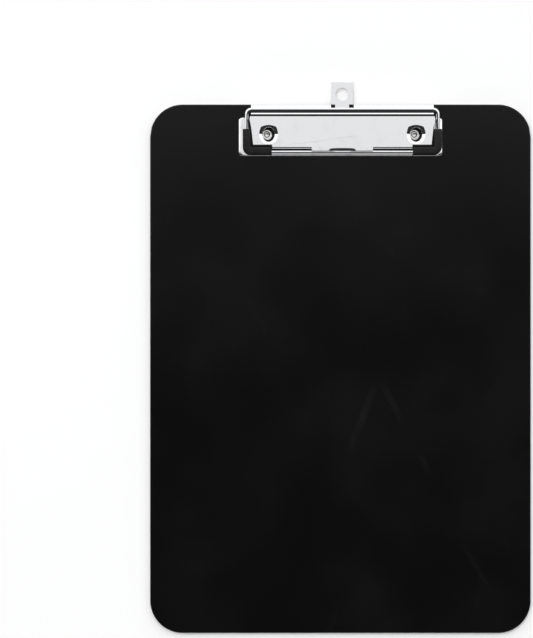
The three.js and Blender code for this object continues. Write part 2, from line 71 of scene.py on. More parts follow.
THICK = BOARD_HIGH[2]
AXIS_Y = HINGE_PLACE[1]
AXIS_UP = HINGE_PLACE[2] - THICK
PLAY = (TAB_LOW[0] + TAB_HIGH[0]) / 2  # lever, bail and tab rest this far to +X
CLIP_PLACE = np.array([0, AXIS_Y, THICK])
JAW_PLACE = np.array([PLAY, AXIS_Y, THICK])
TAB_PLACE = np.array([PLAY, 0, 0])
RIVET_X = (RIVET_LOW[0] + RIVET_HIGH[0]) / 2
RIVET_ALONG = (RIVET_LOW[1] + RIVET_HIGH[1]) / 2 - AXIS_Y

BOARD_CORNER = 19.5
BOARD_EDGE = 0.8
COUNTERBORE = (4.4, 1.5)  # radius and depth
SHANK_HOLE = 2.2

SHEET = 0.8  # lever plate
ROLL = 3.375  # outside radius
HALF_ROLL = 54.65
ROLL_EDGE = -25.0
NOTCH_EDGE = 74.0
HALF_NOTCH = 6.85
VALLEY = 2.0  # outside radius
FLAT = 5.6
HALF_LEVER = 55.7
GRIP_SIDE = 54.45
GRIP_SIDE_FRONT = 53.4
CORNER_LIP = (-21.0, 0.9)  # where the bend starts, and its radius
MIDDLE_LIP = (-22.5, 0.9)
LIP_DROP = 0.5
CORNER_LIP_INSIDE = 41.95
CRISP = 0.12  # an extra grid line this far from a bend keeps the flat beside it flat
FINGER = 18.3
FINGER_BEND = -23.1
FINGER_TIP = (-24.55, 5.25)
FLARE = [(5.6, 5.6), (5.35, 5.52), (3.75, 4.8), (3.55, 4.4), (3.5, 3.2)]  # radius and height
FLARE_OVAL = 1.2  # the throat's length over its width
EYE_WIDTH = 6.0

WIRE = 1.2
ARM = 57.2
BAIL_FRONT = (-25.3, 3.42)
BAIL_JOINT = (-27.4, -28.0)
GRIP = (4.9, 1.3)  # section and its corner radius
GRIP_UP = 3.87
GRIP_BACK = -11.6
GRIP_FRONT = -24.65
GRIP_END = 42.25

BASE_TOP = 1.4
BASE_SHEET = 0.6
BASE_EDGE = (2.0, 0.35, 0.5)  # run-out of the rounded edge at the sides and the front, and its drop
BASE_CORNER = 2.4
WING_BACK = -4.4
HALF_TONGUE = 53.0
DISH = (5.0, 4.4)  # at the top and at the floor
KNUCKLE_WIDTH = 12.0
KNUCKLE_X = 36.0

SPRING_WIRE = 0.4
SPRING_RADIUS = 1.8
SPRING_X = (16.625, 23.375)
SPRING_TURNS = 6.75
SPRING_LEG = -11.0

# ---------------------------------------------------------------- shapes


def unit(vectors):
    """Each vector divided by its own length."""
    return vectors / np.linalg.norm(vectors, axis=-1, keepdims=True)


def arc(centre, radius, start, end, steps):
    """centre + radius (cos t, sin t), with t going evenly from start to end in degrees."""
    t = np.radians(np.linspace(start, end, steps + 1))
    return np.stack([centre[0] + radius * np.cos(t), centre[1] + radius * np.sin(t)], 1)


def straight(start, end, steps=1):
    """start + t (end - start), with t going evenly from 0 to 1."""
    t = np.linspace(0, 1, steps + 1)[:, None]
    return np.array(start) + t * (np.array(end) - np.array(start))


def bent(start, pull, end, steps):
    """(1 - t)^2 start + 2 t (1 - t) pull + t^2 end, with t going evenly from 0 to 1."""
    t = np.linspace(0, 1, steps + 1)[:, None]
    return (1 - t) ** 2 * np.array(start) + 2 * t * (1 - t) * np.array(pull) + t**2 * np.array(end)


def chained(*parts):
    """Lines put end to end, each one's first point left out where the last one ended on it."""
    return np.concatenate([parts[0]] + [part[1:] for part in parts[1:]])


def filleted(corners, radius, steps=10):
    """Straight runs between the corners, each inner corner replaced by an arc that touches both."""
    corners = np.array(corners, float)
    parts = [corners[:1]]
    for before, at, after in zip(corners[:-2], corners[1:-1], corners[2:]):
        back, ahead = unit(before - at), unit(after - at)
        half = np.arccos(back @ ahead) / 2
        centre = at + unit(back + ahead) * radius / np.sin(half)
        start = at + back * radius / np.tan(half) - centre
        end = at + ahead * radius / np.tan(half) - centre
        sweep = np.pi - 2 * half
        t = np.linspace(0, 1, steps + 1)[:, None]
        turned_arm = start * np.sin((1 - t) * sweep) + end * np.sin(t * sweep)
        parts.append(centre + turned_arm / np.sin(sweep))
    parts.append(corners[-1:])
    return np.concatenate(parts)


def circle(radius, sides):
    """radius (cos t, sin t) once round, the last point left out."""
    t = 2 * np.pi * np.arange(sides) / sides
    return radius * np.stack([np.cos(t), np.sin(t)], 1)


def rounded_square(width, corner, per_corner=7):
    """Four quarter circles of the corner radius, joined by straight sides."""
    reach = width / 2 - corner
    quarters = [arc((0, 0), corner, 90 * k, 90 * k + 90, per_corner) for k in range(4)]
    centres = np.array([(reach, reach), (-reach, reach), (-reach, -reach), (reach, -reach)])
    return np.concatenate([quarter + centre for quarter, centre in zip(quarters, centres)])


def steps_between(*stops):
    """Even steps between pairs of stops: (start, count), (start, count), ..., end."""
    parts = []
    for (start, count), after in zip(stops[:-1], stops[1:]):
        end = after[0] if isinstance(after, tuple) else after
        parts.append(np.linspace(start, end, count + 1)[:-1])
    return np.concatenate(parts + [[stops[-1]]])


def both_ways(half):
    """Places from 0 outwards, with their mirror images."""
    return np.concatenate([-half[:0:-1], half])


def smooth_step(t):
    """t^2 (3 - 2 t), with t kept from 0 to 1."""
    t = np.clip(t, 0, 1)
    return t * t * (3 - 2 * t)


class Surface:
    """Grids of points gathered into one mesh; points that fall together become one."""

    def __init__(self):
        self.points, self.faces, self.count = [], [], 0

    def grid(self, points, around=False, keep=None, flip=False):
        """Quads between neighbours of a (rows, columns, 3) grid, closed across columns if around."""
        rows, columns = points.shape[:2]
        across = columns if around else columns - 1
        i, j = np.meshgrid(np.arange(rows - 1), np.arange(across), indexing="ij")
        beside = (j + 1) % columns
        quads = np.stack(
            [i * columns + j, i * columns + beside, (i + 1) * columns + beside, (i + 1) * columns + j],
            -1,
        )
        quads = quads[keep] if keep is not None else quads.reshape(-1, 4)
        self.points.append(points.reshape(-1, 3))
        self.faces.append((quads[:, ::-1] if flip else quads) + self.count)
        self.count += rows * columns
        return self

    def moved(self, offset):
        """The same surface, offset added to each point."""
        self.points = [points + np.array(offset) for points in self.points]
        return self

    def mirrored(self):
        """The same surface on the other side of x = 0, faces turned so that they still face out."""
        self.points = [points * np.array([-1, 1, 1]) for points in self.points]
        self.faces = [faces[:, ::-1] for faces in self.faces]
        return self

    def add(self, other):
        """Another surface's grids taken in."""
        for points, faces, start in zip(other.points, other.faces, other.starts()):
            self.points.append(points)
            self.faces.append(faces - start + self.count)
            self.count += len(points)
        return self

    def starts(self):
        """Number of the first point of each grid."""
        return np.cumsum([0] + [len(points) for points in self.points])[:-1]

    def mesh(self, name):
        """The mesh, in metres."""
        points = np.concatenate(self.points)
        keys = np.round(points * 1e4).astype(np.int64)
        _, first, joined = np.unique(keys, axis=0, return_index=True, return_inverse=True)
        quads = joined.reshape(-1)[np.concatenate(self.faces)]
        shapes = []
        for k in range(4):
            pinched = quads[:, k] == quads[:, (k + 1) % 4]
            shapes.append(np.delete(quads[pinched], k, 1))
            quads = quads[~pinched]
        triangles = np.concatenate(shapes)
        worn = (triangles == np.roll(triangles, 1, 1)).any(1)
        triangles = triangles[~worn]
        used, loops = np.unique(
            np.concatenate([quads.ravel(), triangles.ravel()]), return_inverse=True
        )
        mesh = bpy.data.meshes.new(name)
        mesh.vertices.add(len(used))
        mesh.vertices.foreach_set("co", (points[first][used] * MM).ravel())
        mesh.loops.add(len(loops))
        mesh.loops.foreach_set("vertex_index", loops.ravel().astype(np.int32))
        sides = np.repeat([4, 3], [len(quads), len(triangles)])
        mesh.polygons.add(len(sides))
        mesh.polygons.foreach_set("loop_start", np.cumsum(sides) - sides)
        mesh.update(calc_edges=True)
        mesh.validate()
        return mesh


def in_plane_of_x(line, x):
    """An (along, up) line as 3-D points at each of the places x: a (len(line), len(x), 3) grid."""
    x = np.broadcast_to(np.asarray(x, float), (len(line), np.shape(x)[-1]))
    along = np.broadcast_to(line[:, :1], x.shape)
    up = np.broadcast_to(line[:, 1:], x.shape)
    return np.stack([x, along, up], -1)


def strip(line, thickness, from_x, to_x):
    """A bent sheet: the line moved half the thickness to each side, carried from one x to another."""
    steps = unit(np.diff(line, axis=0))
    ahead = unit(np.concatenate([steps[:1], steps[:-1] + steps[1:], steps[-1:]]))
    left = np.stack([-ahead[:, 1], ahead[:, 0]], 1) * thickness / 2
    outline = np.concatenate([line + left, (line - left)[::-1]])
    ends = np.stack([line + left, line - left], 1)
    surface = Surface()
    walls = in_plane_of_x(outline, [from_x, to_x]).transpose(1, 0, 2)
    surface.grid(walls, around=True)
    for x, flip in ((from_x, False), (to_x, True)):
        x_of_end = np.full(ends.shape[:2] + (1,), x)
        surface.grid(np.concatenate([x_of_end, ends], -1), flip=flip)
    return surface


def frames_along(path, upright):
    """Unit vectors ahead, sideways and over at each point of a path."""
    steps = unit(np.diff(path, axis=0))
    ahead = unit(np.concatenate([steps[:1], steps[:-1] + steps[1:], steps[-1:]]))
    side = unit(np.cross(ahead, upright))
    return ahead, side, np.cross(side, ahead)


def rings(path, frames, stations, pushes, sections):
    """Sections set square to the path: path + push ahead + across side + over top, per station."""
    ahead, side, over = (axis[stations][:, None] for axis in frames)
    pushes = np.array(pushes, float)[:, None, None]
    return (
        path[stations][:, None] + pushes * ahead + sections[..., :1] * side + sections[..., 1:] * over
    )


def rod(path, radius, sides, upright=(0, 0, 1.0), chamfer=0.25):
    """A round section carried along a path, its ends chamfered and closed."""
    last = len(path) - 1
    stations = np.array([0, 0, *range(last + 1), last, last])
    shares = np.ones(len(stations))
    shares[[0, -1]], shares[[1, -2]] = 0, 1 - chamfer
    pushes = np.zeros(len(stations))
    pushes[2], pushes[-3] = chamfer * radius, -chamfer * radius
    sections = circle(radius, sides)[None] * shares[:, None, None]
    return Surface().grid(rings(path, frames_along(path, upright), stations, pushes, sections), True)


def turned(profile, sides):
    """A (radius, height) profile carried once round the upright axis."""
    t = 2 * np.pi * np.arange(sides) / sides
    radius, height = profile[:, :1], profile[:, 1:]
    points = np.stack([radius * np.cos(t), radius * np.sin(t), height + 0 * t], -1)
    return Surface().grid(points, around=True, flip=True)


def block(low, high):
    """A box between two corners."""
    low, high = np.array(low, float), np.array(high, float)
    ring = np.array([(0, 0), (1, 0), (1, 1), (0, 1)], float)
    shares = np.zeros((4, 4, 3))
    shares[1:3, :, :2] = ring
    shares[0, :, :2], shares[3, :, :2] = 0, 0
    shares[2:, :, 2] = 1
    return Surface().grid(low + shares * (high - low), around=True)


def rounded_plan(xs, ys, corner):
    """A grid of (x, y) over a rectangle, each corner square turned into a quarter disc.

    In a corner square, with u and v from 0 to 1 outwards, t = max(u, v) becomes the distance from
    the square's inner corner and 45 min(u, v) / t degrees the angle from the nearer side.
    """
    x, y = np.meshgrid(xs, ys)
    middle_x, middle_y = (xs[0] + xs[-1]) / 2, (ys[0] + ys[-1]) / 2
    from_x, from_y = x - middle_x, y - middle_y
    reach_x, reach_y = xs[-1] - middle_x - corner, ys[-1] - middle_y - corner
    u = (np.abs(from_x) - reach_x) / corner
    v = (np.abs(from_y) - reach_y) / corner
    inside = (u > 1e-9) & (v > 1e-9)
    t = np.where(inside, np.maximum(u, v), 1)
    angle = np.radians(45) * np.where(inside, np.minimum(u, v), 0) / t
    angle = np.where(u >= v, angle, np.pi / 2 - angle)
    round_x = middle_x + np.sign(from_x) * (reach_x + corner * t * np.cos(angle))
    round_y = middle_y + np.sign(from_y) * (reach_y + corner * t * np.sin(angle))
    return np.where(inside, round_x, x), np.where(inside, round_y, y)


def rim_of(grid):
    """The outermost points of a (rows, columns, ...) grid, once round against the clock."""
    return np.concatenate([grid[0, :-1], grid[:-1, -1], grid[-1, :0:-1], grid[:0:-1, 0]])


def plate_with_holes(surface, points, holes, flip=False, oval=1.0):
    """A grid of points with square windows left out, each filled round a hole.

    A hole is (rows, columns, centre, profile): the window's grid lines, the hole's middle in plan,
    and a profile of (radius, height) that starts at the rim on the plate and runs down the hole.
    The hole's lower end is longer than it is wide by the share oval.
    """
    keep = np.ones((points.shape[0] - 1, points.shape[1] - 1), bool)
    for rows, columns, centre, profile in holes:
        keep[rows[0] : rows[1], columns[0] : columns[1]] = False
        window = points[rows[0] : rows[1] + 1, columns[0] : columns[1] + 1]
        rim = rim_of(window)
        direction = unit(rim[:, :2] - centre)
        radius, height = profile[:, 0, None, None], profile[:, 1, None, None]
        drawn = (radius - radius[0]) / (radius[-1] - radius[0] + 1e-9)
        longer = np.concatenate([np.ones_like(drawn), 1 + (oval - 1) * drawn], -1)
        plan = np.array(centre) + radius * direction[None] * longer
        below = np.concatenate([plan, np.broadcast_to(height, plan.shape[:2] + (1,))], -1)
        between = rim[None] + np.linspace(0, 1, 4)[:-1, None, None] * (below[:1] - rim[None])
        surface.grid(np.concatenate([between, below]), around=True, flip=flip)
    surface.grid(points, keep=keep, flip=flip)
    return surface


def rounded_edge(rim, outward, radius, heights):
    """Rings outside a flat cap: rim + outward (radius sin a), with (a, height) given per ring."""
    rings_of_edge = [rim[:, :2] + outward * radius * np.sin(np.radians(a)) for a, _ in heights]
    rows = [
        np.concatenate([ring, np.full((len(ring), 1), height)], 1)
        for ring, (_, height) in zip(rings_of_edge, heights)
    ]
    return np.stack(rows)


def outward_of(xs, ys, corner):
    """Unit vectors square to the rim of a rounded rectangle, one per rim point."""
    x, y = rounded_plan(xs, ys, corner)
    rim = rim_of(np.stack([x, y], -1))
    middle = np.array([(xs[0] + xs[-1]) / 2, (ys[0] + ys[-1]) / 2])
    reach = np.array([xs[-1], ys[-1]]) - middle - corner
    from_corner = (rim - middle) - np.clip(rim - middle, -reach, reach)
    return unit(from_corner)


# ---------------------------------------------------------------- pieces


def window_lines(stops, low, high):
    """Numbers of the grid lines at low and at high."""
    return int(np.argmin(np.abs(stops - low))), int(np.argmin(np.abs(stops - high)))


WINDOW = 6.0  # half the side of the square window round a rivet
WINDOW_STEPS = 16


def rivet_columns(inner, outer):
    """Grid lines across: out from the middle to a rivet's window, through it, and on to outer."""
    return steps_between(
        *inner,
        (RIVET_X - WINDOW, 6),
        (CORNER_LIP_INSIDE, WINDOW_STEPS - 6),
        *outer,
    )


def board_surface():
    """The slab: a rounded rectangle with rounded edges, and a stepped hole for each rivet."""
    half_x, half_y = BOARD_HIGH[0] - BOARD_EDGE, BOARD_HIGH[1] - BOARD_EDGE
    corner = BOARD_CORNER - BOARD_EDGE
    rivet_y = AXIS_Y + RIVET_ALONG
    xs = both_ways(
        rivet_columns([(0, 6)], [(RIVET_X + WINDOW, 6), (half_x - corner, 16), half_x])
    )
    ys = steps_between(
        (-half_y, 16),
        (-half_y + corner, 30),
        (rivet_y - WINDOW, WINDOW_STEPS - 1),
        (half_y - corner, 1),
        (rivet_y + WINDOW, 15),
        half_y,
    )
    x, y = rounded_plan(xs, ys, corner)
    outward = outward_of(xs, ys, corner)
    depth = COUNTERBORE[1]
    back_profile = np.array(
        [(COUNTERBORE[0] + 0.15, 0), (COUNTERBORE[0], 0.15), (COUNTERBORE[0], depth)]
        + [(SHANK_HOLE, depth), (SHANK_HOLE, THICK)]
    )
    front_profile = np.array([(SHANK_HOLE + 0.3, THICK), (SHANK_HOLE, THICK)])
    surface = Surface()
    for height, profile, flip in ((THICK, front_profile, False), (0.0, back_profile, True)):
        holes = [
            (
                window_lines(ys, rivet_y - WINDOW, rivet_y + WINDOW),
                window_lines(xs, side * RIVET_X - WINDOW, side * RIVET_X + WINDOW),
                (side * RIVET_X, rivet_y),
                profile,
            )
            for side in (-1, 1)
        ]
        points = np.stack([x, y, np.full_like(x, height)], -1)
        plate_with_holes(surface, points, holes, flip)
    angles = np.linspace(0, 90, 7)
    top = [(a, THICK - BOARD_EDGE * (1 - np.cos(np.radians(a)))) for a in angles]
    foot = [(a, BOARD_EDGE * (1 - np.cos(np.radians(a)))) for a in angles[::-1]]
    rim = rim_of(np.stack([x, y], -1))
    surface.grid(rounded_edge(rim, outward, BOARD_EDGE, top + foot), around=True, flip=True)
    return surface


def tray_surface():
    """The base plate's top: flat, edges turned down to the board, a dish round each rivet."""
    out_x, out_y, drop = BASE_EDGE
    half_x = BASE_HIGH[0] - out_x
    front, back = BASE_LOW[1] - AXIS_Y + out_y, WING_BACK - out_y
    corner = BASE_CORNER - (out_x + out_y) / 2
    xs = both_ways(
        rivet_columns([(0, 8)], [(RIVET_X + WINDOW, 4), (half_x - corner, 6), half_x])
    )
    ys = steps_between(
        (front, 6),
        (front + corner, 2),
        (RIVET_ALONG - WINDOW, WINDOW_STEPS),
        (RIVET_ALONG + WINDOW, 2),
        (back - corner, 6),
        back,
    )
    x, y = rounded_plan(xs, ys, corner)
    profile = chained(
        np.array([(DISH[0] + 0.5, BASE_TOP), (DISH[0] + 0.2, BASE_TOP)]),
        arc((DISH[0] + 0.2, BASE_TOP - 0.25), 0.25, 90, 160, 5),
        straight((DISH[0] - 0.035, BASE_TOP - 0.165), (DISH[1], BASE_SHEET), 1),
        straight((DISH[1], BASE_SHEET), (SHANK_HOLE, BASE_SHEET), 3),
    )
    holes = [
        (
            window_lines(ys, RIVET_ALONG - WINDOW, RIVET_ALONG + WINDOW),
            window_lines(xs, side * RIVET_X - WINDOW, side * RIVET_X + WINDOW),
            (side * RIVET_X, RIVET_ALONG),
            profile,
        )
        for side in (-1, 1)
    ]
    surface = Surface()
    plate_with_holes(surface, np.stack([x, y, np.full_like(x, BASE_TOP)], -1), holes)
    angles = np.linspace(0, 90, 11)
    heights = [(a, BASE_TOP - drop * (1 - np.cos(np.radians(a)))) for a in angles]
    rim = rim_of(np.stack([x, y], -1))
    outward = outward_of(xs, ys, corner)
    edge = rounded_edge(rim, outward, np.array([out_x, out_y]), heights + [(90, 0.02)])
    return surface.grid(edge, around=True, flip=True)


def hinge_surface():
    """Under the roll: the tray's tongue, two knuckles curled round the wire, the tab's guides."""
    surface = block(
        (-HALF_TONGUE, WING_BACK - BASE_EDGE[1] - 0.1, BASE_TOP - BASE_SHEET),
        (HALF_TONGUE, -2.5, BASE_TOP - 0.01),
    )
    reach = WIRE + 0.15 + BASE_SHEET / 2
    line = chained(
        filleted([(-4.5, BASE_TOP - 0.32), (-reach, BASE_TOP - 0.32), (-reach, AXIS_UP)], 0.6, 6),
        arc((0, AXIS_UP), reach, 180, -60, 36),
    )
    for side in (-1, 1):
        middle = side * KNUCKLE_X
        surface.add(
            strip(line, BASE_SHEET, middle - KNUCKLE_WIDTH / 2, middle + KNUCKLE_WIDTH / 2)
        )
        rail = sorted((side * 7.65, side * 8.45))
        stop = sorted((side * 5.4, side * 8.45))
        surface.add(block((rail[0], -23.7, 0.02), (rail[1], -3.7, BASE_TOP - BASE_SHEET + 0.1)))
        surface.add(block((stop[0], -10.6, 0.02), (stop[1], -7.8, BASE_TOP - BASE_SHEET + 0.1)))
    return surface


def lever_surface():
    """The lever's outer face: roll, valley and flat, a flare at each rivet, and the front's lips."""
    valley_up = FLAT + VALLEY
    valley_along = -np.sqrt((ROLL + VALLEY) ** 2 - (valley_up - AXIS_UP) ** 2)
    meeting = np.degrees(np.arctan2(valley_up - AXIS_UP, valley_along))
    window_back, window_front = RIVET_ALONG + WINDOW, RIVET_ALONG - WINDOW
    line = chained(
        arc((0, AXIS_UP), ROLL, ROLL_EDGE, NOTCH_EDGE, 30),
        arc((0, AXIS_UP), ROLL, NOTCH_EDGE, meeting, 20),
        arc((valley_along, valley_up), VALLEY, meeting - 180, -90, 12),
        straight((valley_along, FLAT), (valley_along - CRISP, FLAT)),
        straight((valley_along - CRISP, FLAT), (window_back, FLAT), 3),
        straight((window_back, FLAT), (window_front, FLAT), WINDOW_STEPS),
    )
    xs = both_ways(
        rivet_columns(
            [(0, 4), (HALF_NOTCH, 8), (FINGER, 5)],
            [(RIVET_X + WINDOW, 3), GRIP_SIDE_FRONT],
        )
    )
    inner = RIVET_X + WINDOW
    narrowing = [window_front, -11.3, valley_along - 1, valley_along + 1]
    halves = [GRIP_SIDE_FRONT, GRIP_SIDE, HALF_LEVER, HALF_ROLL]
    width = np.interp(line[:, 0], narrowing, halves)
    stretch = (width[:, None] - inner) / (GRIP_SIDE_FRONT - inner)
    x = np.where(np.abs(xs) > inner, np.sign(xs) * (inner + (np.abs(xs) - inner) * stretch), xs)
    points = in_plane_of_x(line, x)[::-1]
    rows = len(line)
    notch_rows = 30
    profile = filleted([(*point, 0) for point in FLARE], 0.25, 4)[:, :2]
    holes = [
        (
            (0, WINDOW_STEPS),
            window_lines(xs, side * RIVET_X - WINDOW, side * RIVET_X + WINDOW),
            (side * RIVET_X, RIVET_ALONG),
            profile,
        )
        for side in (-1, 1)
    ]
    notch_columns = window_lines(xs, -HALF_NOTCH, HALF_NOTCH)
    above = rows - notch_rows
    surface = Surface()
    left, right = notch_columns
    plate_with_holes(surface, points[:above], holes, oval=FLARE_OVAL)
    surface.grid(points[above - 1 :, : left + 1])
    surface.grid(points[above - 1 :, right:])

    middle_x = xs[(np.abs(xs) <= CORNER_LIP_INSIDE + 1e-6)]
    corner_start, corner_bend = CORNER_LIP
    corner_lip = chained(
        straight((window_front, FLAT), (corner_start, FLAT)),
        arc((corner_start, FLAT - corner_bend), corner_bend, 90, 180, 10),
        straight(
            (corner_start - corner_bend, FLAT - corner_bend),
            (corner_start - corner_bend, FLAT - corner_bend - LIP_DROP),
        ),
    )
    middle_start, middle_bend = MIDDLE_LIP
    middle_lip = chained(
        straight((window_front, FLAT), (middle_start + CRISP, FLAT)),
        straight((middle_start + CRISP, FLAT), (middle_start, FLAT)),
        arc((middle_start, FLAT - middle_bend), middle_bend, 90, 180, 12),
        straight(
            (middle_start - middle_bend, FLAT - middle_bend),
            (middle_start - middle_bend, FLAT - middle_bend - LIP_DROP),
        ),
    )
    finger = chained(
        straight((window_front, FLAT), (FINGER_BEND + CRISP, FLAT), 2),
        straight((FINGER_BEND + CRISP, FLAT), (FINGER_BEND, FLAT)),
        bent((FINGER_BEND, FLAT), (FINGER_BEND - 0.7, FLAT), FINGER_TIP, 8),
    )
    corner_x = xs[xs >= CORNER_LIP_INSIDE - 1e-6]
    lip_x = middle_x[middle_x >= FINGER - 1e-6]
    finger_x = middle_x[np.abs(middle_x) <= FINGER + 1e-6]
    surface.grid(in_plane_of_x(corner_lip, corner_x), flip=True)
    surface.grid(in_plane_of_x(corner_lip, -corner_x[::-1]), flip=True)
    surface.grid(in_plane_of_x(middle_lip, lip_x), flip=True)
    surface.grid(in_plane_of_x(middle_lip, -lip_x[::-1]), flip=True)
    tongue = in_plane_of_x(finger, finger_x)
    dished = 1 - smooth_step((np.abs(finger_x) - 2.0) / 5)
    tongue[..., 2] = FLAT - (FLAT - tongue[..., 2]) * dished
    surface.grid(tongue, flip=True)
    return surface


def eye_surface():
    """The roll's two ends, each curled on in a spiral until it hugs the wire."""
    angles = np.linspace(ROLL_EDGE, -400, 72)
    settled = smooth_step((ROLL_EDGE - angles) / (ROLL_EDGE + 170))
    radius = (ROLL - SHEET / 2) + settled * (WIRE + 0.15 + SHEET - ROLL)
    t = np.radians(angles)
    line = np.stack([radius * np.cos(t), AXIS_UP + radius * np.sin(t)], 1)
    surface = strip(line, SHEET - 0.01, HALF_ROLL - EYE_WIDTH, HALF_ROLL - 0.01)
    return surface.add(strip(line, SHEET - 0.01, 0.01 - HALF_ROLL, EYE_WIDTH - HALF_ROLL))


BAIL_CORNERS = [
    (BAIL_JOINT[0], 0, AXIS_UP),
    (ARM, 0, AXIS_UP),
    (ARM, *BAIL_FRONT),
    (-ARM, *BAIL_FRONT),
    (-ARM, 0, AXIS_UP),
    (BAIL_JOINT[1], 0, AXIS_UP),
]


def bail_surface():
    """The wire: hinge run, two arms and a front run, its ends meeting inside the roll."""
    return rod(filleted(BAIL_CORNERS, 2.6, 14), WIRE, 28)


def grip_surface():
    """The right-hand corner grip: a rounded square carried round the corner, with a bore."""
    path = filleted(
        [(ARM, GRIP_BACK, GRIP_UP), (ARM, GRIP_FRONT, GRIP_UP), (GRIP_END, GRIP_FRONT, GRIP_UP)],
        2.55,
        12,
    )
    last = len(path) - 1
    square = rounded_square(*GRIP)
    hole = (WIRE + 0.2) * unit(square)
    back_up = AXIS_UP + (BAIL_FRONT[1] - AXIS_UP) * GRIP_BACK / BAIL_FRONT[0]
    back_hole = hole + (0, back_up - GRIP_UP)
    front_hole = hole + (BAIL_FRONT[0] - GRIP_FRONT, BAIL_FRONT[1] - GRIP_UP)
    half, soft = GRIP[0] / 2, 0.35  # half the section, and how far its end edges are rounded
    ease = [(1 - 0.7 * soft / half, 0.0), (1 - 0.3 * soft / half, 0.3 * soft), (1, soft)]
    stations = [0] * 7 + list(range(1, last)) + [last] * 7
    depth = 2.0
    pushes = [depth, depth, 0, 0] + [push for _, push in ease]
    pushes = pushes + [0] * (last - 1) + [-push for push in pushes[::-1]]
    start = [back_hole * 0 + (0, back_up - GRIP_UP), back_hole, back_hole, square * 0.86]
    start += [square * share for share, _ in ease]
    end = [square * share for share, _ in ease[::-1]]
    end += [square * 0.86, front_hole, front_hole, front_hole * 0 + front_hole.mean(0)]
    sections = np.array(start + [square] * (last - 1) + end)
    frames = frames_along(path, (0, 0, 1.0))
    return Surface().grid(rings(path, frames, np.array(stations), pushes, sections), around=True)


def spring_surface():
    """The right-hand spring: a leg on the tray, the coil, and a leg that dips and runs forward."""
    start, end = SPRING_X
    t = np.linspace(0, SPRING_TURNS, int(SPRING_TURNS * 28) + 1)
    turn = 2 * np.pi * t - np.pi / 2
    coil = np.stack(
        [
            start + (end - start) * t / SPRING_TURNS,
            SPRING_RADIUS * np.cos(turn),
            AXIS_UP + SPRING_RADIUS * np.sin(turn),
        ],
        1,
    )
    leg_low, leg_high = BASE_TOP + SPRING_WIRE + 0.1, FLAT - SHEET - SPRING_WIRE - 0.1
    lower = bent(
        (start, SPRING_LEG, leg_low), (start, -2.5, leg_low + 0.2), (start, 0, coil[0, 2]), 8
    )
    dip = AXIS_UP - 0.9
    upper = chained(
        bent((end, -SPRING_RADIUS, AXIS_UP), (end, -SPRING_RADIUS, dip), (end, -2.7, dip), 6),
        bent((end, -2.7, dip), (end, -6, dip + 0.2), (end, SPRING_LEG, leg_high), 6),
    )
    return rod(chained(lower, coil, upper), SPRING_WIRE, 12, (1.0, 0, 0))


def rivet_surface():
    """One rivet: a cupped head on the tray, a shank, and a flared hollow tail."""
    head, top = THICK + BASE_SHEET, RIVET_HIGH[2]
    corners = [
        (0, 1.5),
        (1.0, 1.5),
        (1.0, 0.8),
        (1.45, 0.5),
        (2.6, 0.5),
        (2.9, 0.75),
        (2.9, 1.0),
        (2.0, 1.0),
        (2.0, head),
        (3.3, head),
        (3.3, head + 1.35),
        (3.05, top - 0.15),
        (2.75, top),
        (1.8, top),
        (1.45, top - 0.6),
        (1.1, top - 0.9),
        (0, top - 0.9),
    ]
    profile = filleted([(radius, up, 0) for radius, up in corners], 0.11, 4)[:, :2]
    return turned(profile, 64)


def washer_surface():
    """One washer: a ring of square section with softened edges."""
    low, high = 1.0, COUNTERBORE[1] - 0.002
    corners = [
        (3.0, low, 0),
        (4.0, low, 0),
        (4.0, high, 0),
        (SHANK_HOLE, high, 0),
        (SHANK_HOLE, low, 0),
        (3.0, low, 0),
    ]
    return turned(filleted(corners, 0.08, 4)[:, :2], 64)


def tab_surface():
    """The hanging tab's upper face: head with ears and a hole, neck, and foot."""
    back = AXIS_Y + 3.5
    head, neck, ear = 6.45, 4.2, 6.85
    hole_y, hole, window = back + 6.0, 3.95, 5.0
    stops = [
        (AXIS_Y - 12.4, head),
        (AXIS_Y - 10.93, head),
        (AXIS_Y - 10.9, neck),
        (back, neck),
        (back + 0.03, head),
        (hole_y - window, head),
        (hole_y + window, head),
        (back + 12.4, head),
        (back + 12.85, ear),
        (TAB_HIGH[1], ear),
    ]
    ys = steps_between(*[(y, 16 if y == hole_y - window else 1) for y, _ in stops[:-1]], stops[-1][0])
    width = np.interp(ys, [y for y, _ in stops], [half for _, half in stops])
    shares = both_ways(steps_between((0, 8), (window / head, 2), 1.0))
    x = shares[None] * width[:, None]
    points = np.stack([x, np.broadcast_to(ys[:, None], x.shape), np.full_like(x, TAB_HIGH[2])], -1)
    holes = [
        (
            window_lines(ys, hole_y - window, hole_y + window),
            window_lines(shares, -window / head, window / head),
            (0.0, hole_y),
            np.array([(hole + 0.3, TAB_HIGH[2]), (hole, TAB_HIGH[2])]),
        )
    ]
    return plate_with_holes(Surface(), points, holes)


# ---------------------------------------------------------------- node tools


def feed(tree, plug, item):
    """A link where the item is a value from another node, a plain constant otherwise."""
    if isinstance(item, Value):
        tree.links.new(item.socket, plug)
    else:
        plug.default_value = item


